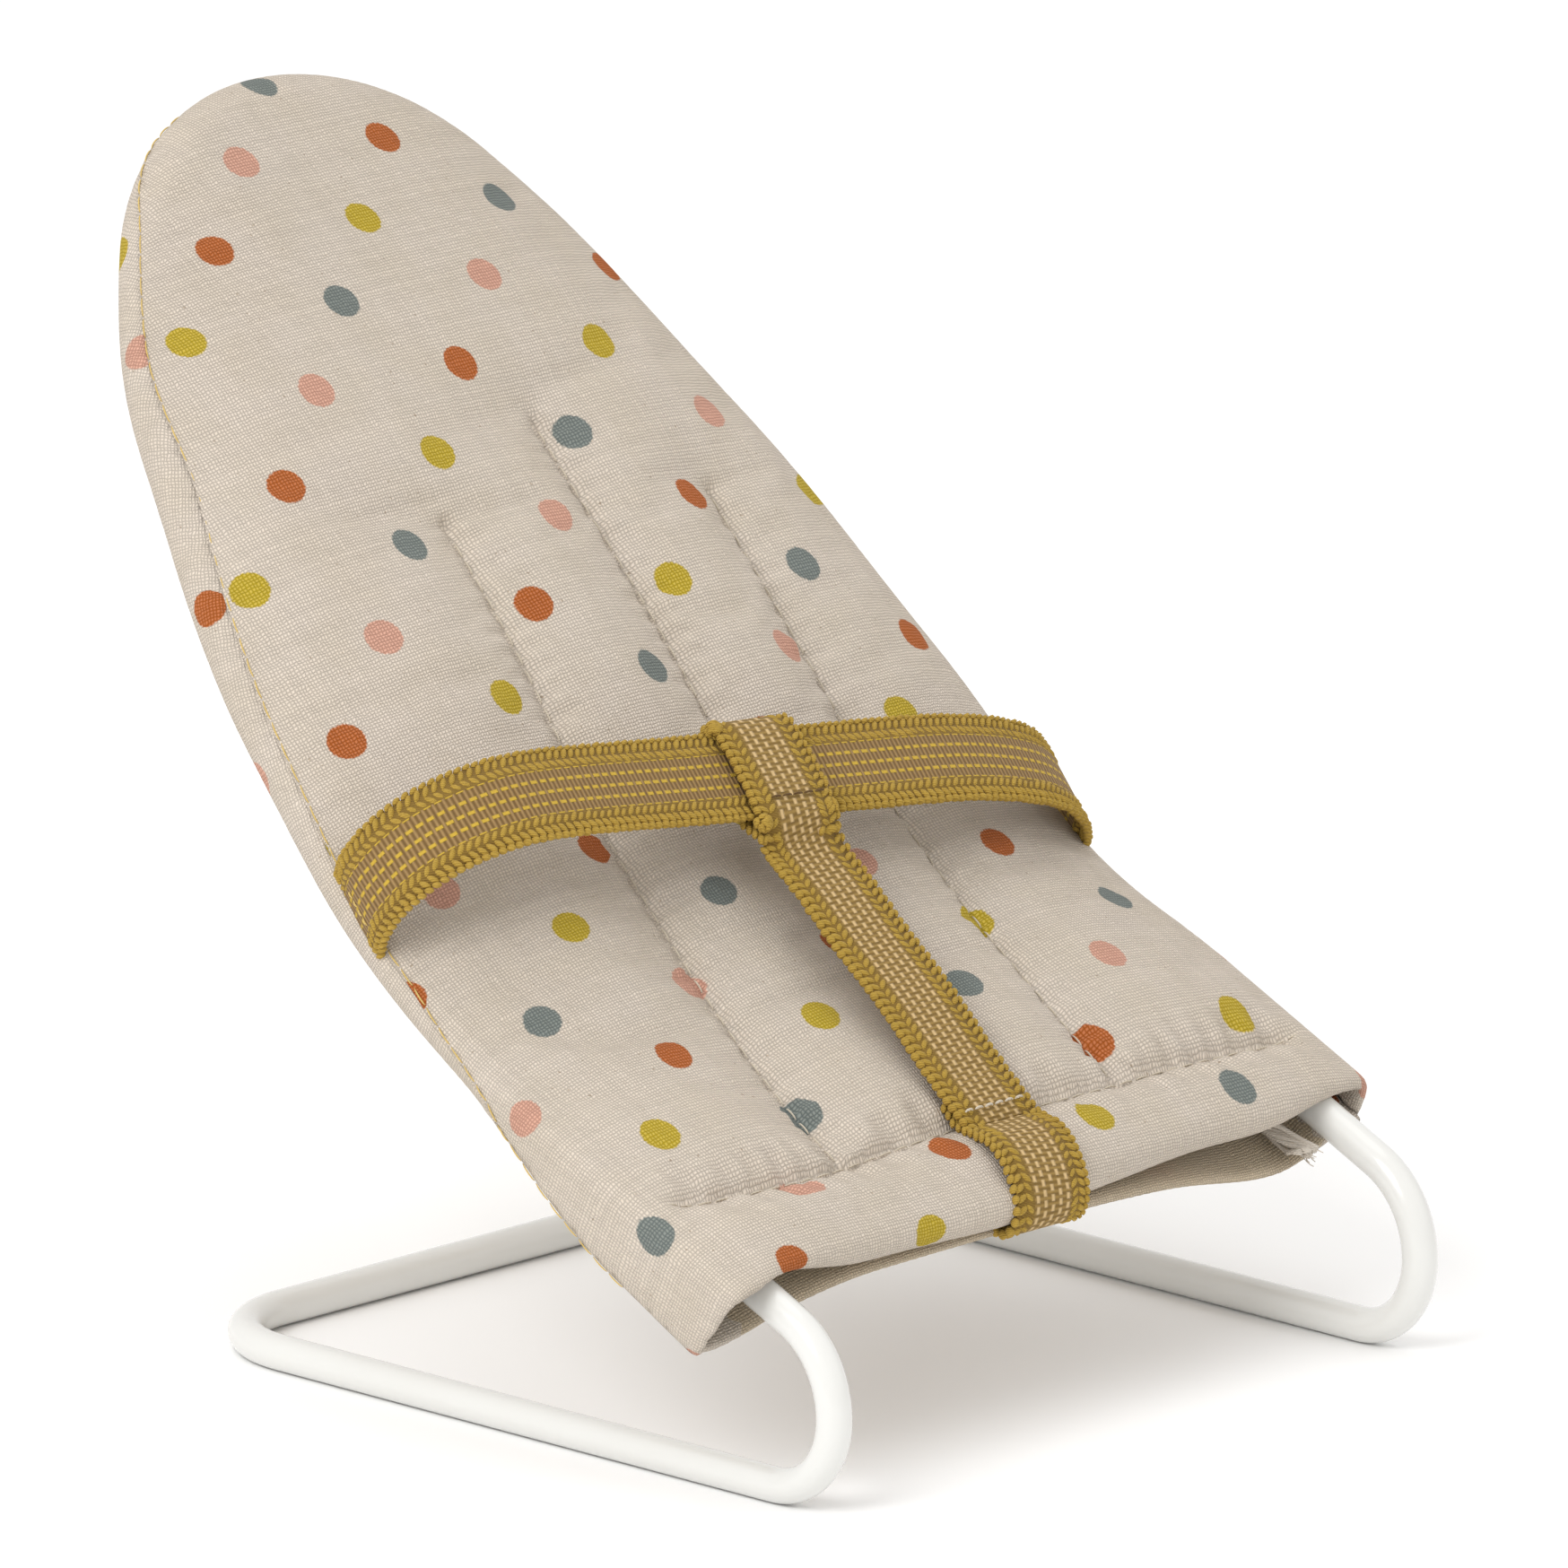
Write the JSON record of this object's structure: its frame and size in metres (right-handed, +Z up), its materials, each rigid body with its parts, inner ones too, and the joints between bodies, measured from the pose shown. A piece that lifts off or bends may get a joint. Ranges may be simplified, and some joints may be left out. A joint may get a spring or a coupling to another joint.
{
  "type": "doll bouncer seat",
  "caption": "Doll-size bouncer seat: bent coated wire frame with a springy seat, padded dotted sleeve cover, elastic lap belt and crotch strap.",
  "frame": {"origin": "on the floor, under the middle of the bounding box", "axes": "+Z up, the foot end with the two front bends faces -Y, the head end is at +Y, X = 0 is the plane of symmetry of the wire frame"},
  "size_m": [0.1078, 0.1418, 0.1287],
  "materials": {
    "coated_wire": "gloss",
    "dotted_canvas": "plain weave",
    "raw_canvas": "plain weave, frayed",
    "wadding": "soft",
    "gold_elastic": "woven elastic",
    "gold_thread": "thread",
    "cream_thread": "thread"
  },
  "bodies": {
    "base": {"rear_crossbar": "coated_wire", "rear_corner_left": "coated_wire", "rear_corner_right": "coated_wire", "floor_runner_left": "coated_wire", "floor_runner_right": "coated_wire", "front_bend_left": "coated_wire", "front_bend_right": "coated_wire"},
    "seat": {"side_rail_left": "coated_wire", "side_rail_right": "coated_wire", "head_hoop": "coated_wire", "front_panel": "dotted_canvas", "back_panel": "dotted_canvas", "hem_roll": "dotted_canvas", "wadding_outer_left": "wadding", "wadding_inner_left": "wadding", "wadding_inner_right": "wadding", "wadding_outer_right": "wadding", "head_pad": "wadding", "seam_allowance_end": "raw_canvas", "quilt_stitch_left": "cream_thread", "quilt_stitch_centre": "cream_thread", "quilt_stitch_right": "cream_thread", "hem_stitch": "cream_thread", "side_seam_stitch": "gold_thread", "lap_belt": "gold_elastic", "belt_tack_left": "gold_thread", "belt_tack_right": "gold_thread", "strap_tail": "gold_elastic", "strap_tack": "gold_thread"},
    "crotch_strap": {"crotch_strap": "gold_elastic", "loop_tack": "gold_thread"}
  },
  "joints": [
    {"name": "bounce", "type": "hinge", "parent": "base", "child": "seat", "pos_m": [0, -0.05889, 0.011], "axis": [1, 0, 0], "range_deg": [-5, 3], "stiffness_Nm_per_rad": 20, "deforming": ["front_bend_left", "front_bend_right"]},
    {"name": "strap_swing", "type": "hinge", "parent": "seat", "child": "crotch_strap", "pos_m": [0, -0.04926, 0.03465], "axis": [0, -0.5878, 0.809], "range_deg": [-4, 4], "stiffness_Nm_per_rad": 0.004}
  ]
}
